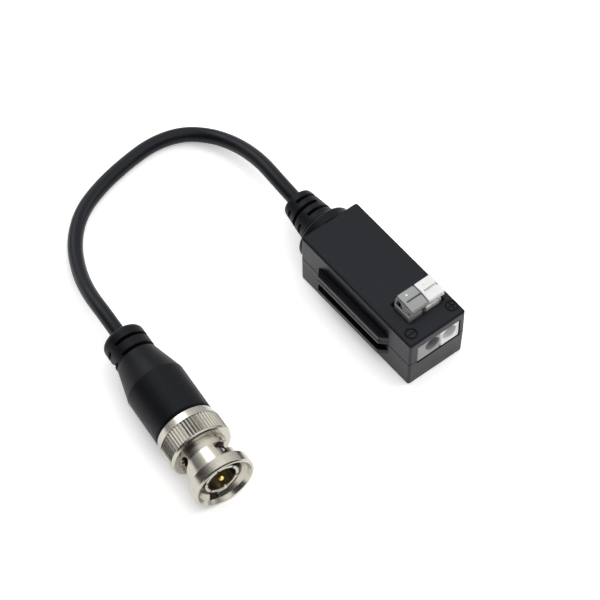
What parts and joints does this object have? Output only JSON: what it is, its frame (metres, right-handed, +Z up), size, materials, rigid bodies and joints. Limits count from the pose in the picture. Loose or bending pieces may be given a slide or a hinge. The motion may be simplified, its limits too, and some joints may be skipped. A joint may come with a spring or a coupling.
{
  "type": "cctv video balun",
  "caption": "Slim black balun housing with two push lever terminals, a side rail and a short coax pigtail that ends in a bayonet plug.",
  "frame": {"origin": "centre of the housing's flat underside, on the surface it stands on", "axes": "+X towards the terminal end, +Z up, the side rail faces -Y and the cable leaves towards -X"},
  "size_m": [0.0906, 0.0753, 0.0184],
  "materials": {
    "shell_black": "fine matte grain",
    "relief_black": "matte moulded",
    "cable_jacket": "glossy extruded",
    "nickel_plate": "bright satin nickel",
    "gold_plate": "polished gold plate",
    "spring_steel": "satin",
    "insulator_olive": "smooth dark",
    "gasket_red": "soft matte",
    "terminal_grey": "fine satin",
    "terminal_white": "fine satin",
    "lever_grey": "satin moulded",
    "lever_white": "satin moulded",
    "contact_tinned": "bright tin plate",
    "board_green": "solder mask",
    "carrier_black": "matte",
    "ferrite_grey": "fine matte",
    "copper_wire": "enamelled",
    "arrester_metal": "satin",
    "chip_black": "moulded",
    "chip_tan": "ceramic",
    "solder": "bright",
    "coax_core": "smooth",
    "braid_tinned": "tinned"
  },
  "bodies": {
    "housing": {"upper_shell": "shell_black", "lower_shell": "shell_black", "circuit_board": "board_green", "choke_base": "carrier_black", "choke_core": "ferrite_grey", "choke_winding_a": "copper_wire", "choke_winding_b": "copper_wire", "surge_arrester": "arrester_metal", "surge_diode": "chip_black", "chip_resistors": "chip_black", "chip_capacitors": "chip_tan", "solder_joints": "solder", "coax_jacket_end": "cable_jacket", "coax_core_end": "coax_core", "coax_braid_tail": "braid_tinned", "strain_relief": "relief_black", "cable": "cable_jacket", "plug_boot": "relief_black", "crimp_ferrule": "nickel_plate", "plug_core": "coax_core", "plug_body": "nickel_plate", "insulator": "insulator_olive", "center_pin": "gold_plate", "gasket": "gasket_red", "wave_washer": "spring_steel", "retaining_ring": "spring_steel", "terminal_body_minus": "terminal_grey", "terminal_body_plus": "terminal_white", "clamp_spring_minus": "spring_steel", "clamp_spring_plus": "spring_steel", "contact_bar_minus": "contact_tinned", "contact_bar_plus": "contact_tinned"},
    "washer": {"thrust_washer": "spring_steel"},
    "ring": {"coupling_ring": "nickel_plate"},
    "lever_minus": {"lever_minus": "lever_grey"},
    "lever_plus": {"lever_plus": "lever_white"}
  },
  "joints": [
    {"name": "coupling_slide", "type": "slide", "parent": "housing", "child": "washer", "axis": [0.9917, -0.1288, 0], "range_m": [0, 0.0005], "stiffness_N_per_m": 1000, "deforming": ["wave_washer"]},
    {"name": "coupling_turn", "type": "hinge", "parent": "washer", "child": "ring", "pos_m": [-0.02727, -0.05386, 0.0077], "axis": [0.9917, -0.1288, 0], "continuous": true},
    {"name": "lever_minus_press", "type": "hinge", "parent": "housing", "child": "lever_minus", "pos_m": [0.01239, -0.0012, 0.0144], "axis": [0, -1, 0], "range_deg": [0, 10], "stiffness_Nm_per_rad": 0.02, "deforming": ["clamp_spring_minus"]},
    {"name": "lever_plus_press", "type": "hinge", "parent": "housing", "child": "lever_plus", "pos_m": [0.01239, 0.0038, 0.0144], "axis": [0, -1, 0], "range_deg": [0, 10], "stiffness_Nm_per_rad": 0.02, "deforming": ["clamp_spring_plus"]}
  ]
}
